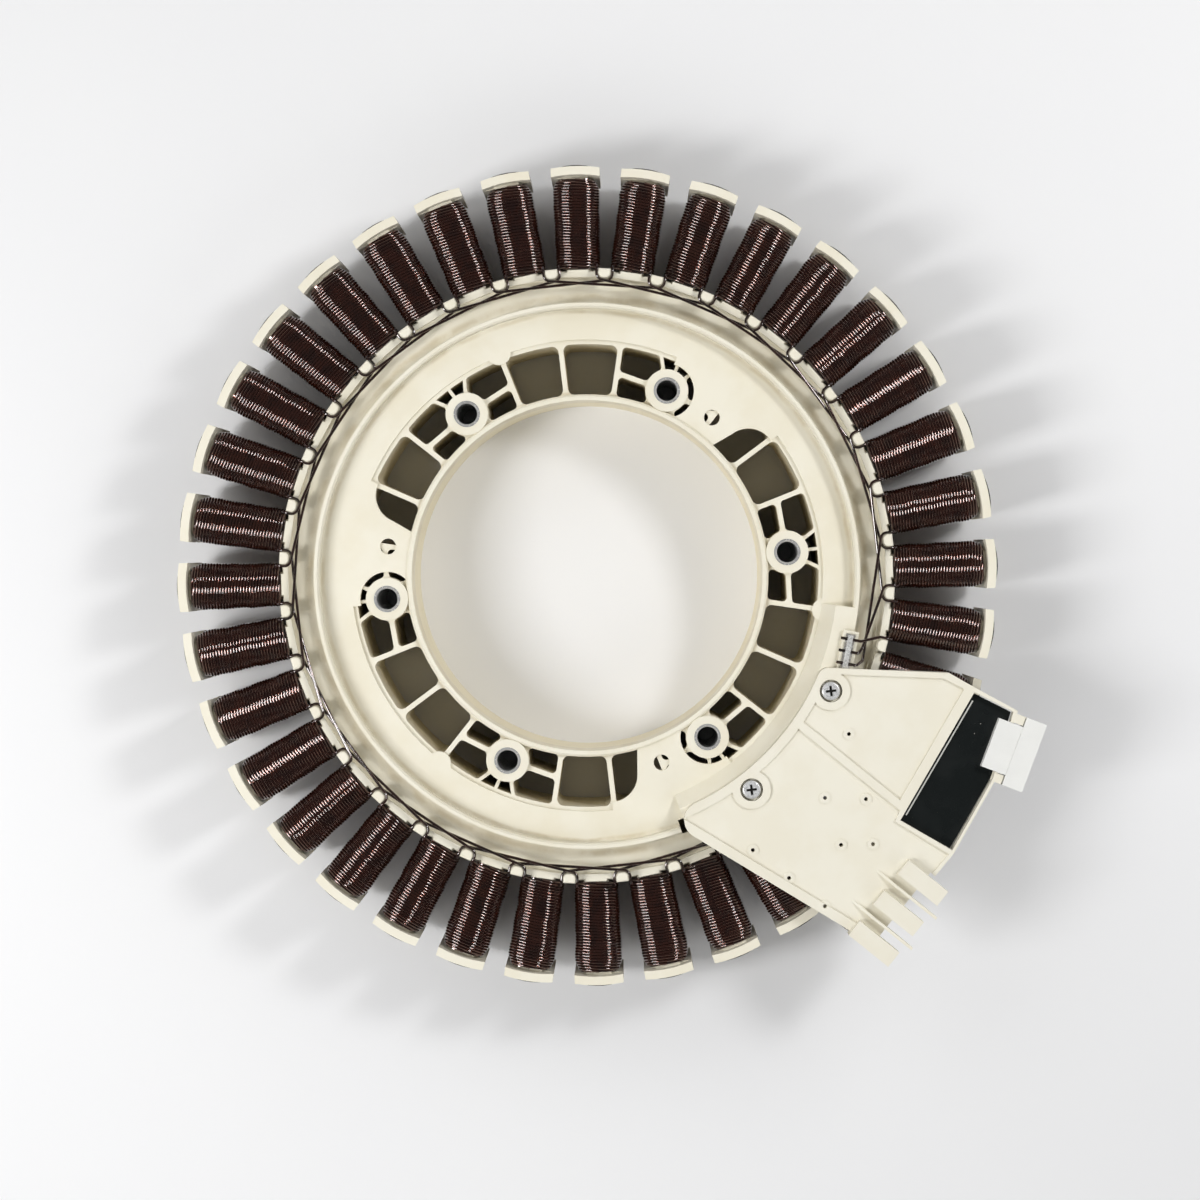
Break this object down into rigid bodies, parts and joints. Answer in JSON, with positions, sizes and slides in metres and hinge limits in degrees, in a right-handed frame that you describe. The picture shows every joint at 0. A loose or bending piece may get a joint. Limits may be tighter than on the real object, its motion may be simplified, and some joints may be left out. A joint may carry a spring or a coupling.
{
  "type": "wound stator",
  "caption": "Wound stator of an outer-rotor motor: ribbed plastic hub, outward teeth with copper coils, link wires round posts, and a terminal cover with a sensor board.",
  "frame": {"origin": "on the bore axis, at the hub's resting face on the mounting side", "axes": "+Z along the bore axis towards the wiring side; +X through a mounting bush; the terminal cover lies between +X and -Y"},
  "size_m": [0.277, 0.2713, 0.0515],
  "materials": {
    "cream_plastic": "satin moulded plastic, cream",
    "ivory_plastic": "satin moulded plastic, ivory",
    "core_steel": "stacked electrical steel sheets, dull grey",
    "bush_steel": "turned steel, zinc plated",
    "enamelled_wire": "round winding wire with dark red-brown enamel",
    "board": "printed board with black solder mask",
    "black_plastic": "matt black moulded package",
    "white_plastic": "white moulded connector",
    "tinned_metal": "tinned brass, bright",
    "screw_steel": "zinc plated steel"
  },
  "bodies": {
    "root": {"upper_insulator": "cream_plastic", "lower_insulator": "cream_plastic", "stator_core": "core_steel", "bush_1": "bush_steel", "bush_2": "bush_steel", "bush_3": "bush_steel", "bush_4": "bush_steel", "bush_5": "bush_steel", "bush_6": "bush_steel", "coil_01": "enamelled_wire", "coil_02": "enamelled_wire", "coil_03": "enamelled_wire", "coil_04": "enamelled_wire", "coil_05": "enamelled_wire", "coil_06": "enamelled_wire", "coil_07": "enamelled_wire", "coil_08": "enamelled_wire", "coil_09": "enamelled_wire", "coil_10": "enamelled_wire", "coil_11": "enamelled_wire", "coil_12": "enamelled_wire", "coil_13": "enamelled_wire", "coil_14": "enamelled_wire", "coil_15": "enamelled_wire", "coil_16": "enamelled_wire", "coil_17": "enamelled_wire", "coil_18": "enamelled_wire", "coil_19": "enamelled_wire", "coil_20": "enamelled_wire", "coil_21": "enamelled_wire", "coil_22": "enamelled_wire", "coil_23": "enamelled_wire", "coil_24": "enamelled_wire", "coil_25": "enamelled_wire", "coil_26": "enamelled_wire", "coil_27": "enamelled_wire", "coil_28": "enamelled_wire", "coil_29": "enamelled_wire", "coil_30": "enamelled_wire", "coil_31": "enamelled_wire", "coil_32": "enamelled_wire", "coil_33": "enamelled_wire", "coil_34": "enamelled_wire", "coil_35": "enamelled_wire", "coil_36": "enamelled_wire", "phase_u_links": "enamelled_wire", "phase_v_links": "enamelled_wire", "phase_w_links": "enamelled_wire", "connector_cover": "ivory_plastic", "sensor_board": "board", "hall_sensors": "black_plastic", "signal_header": "white_plastic", "header_pins": "tinned_metal", "phase_tab_u": "tinned_metal", "phase_tab_v": "tinned_metal", "phase_tab_w": "tinned_metal", "neutral_joint": "tinned_metal", "cover_screws": "screw_steel"}
  },
  "joints": []
}
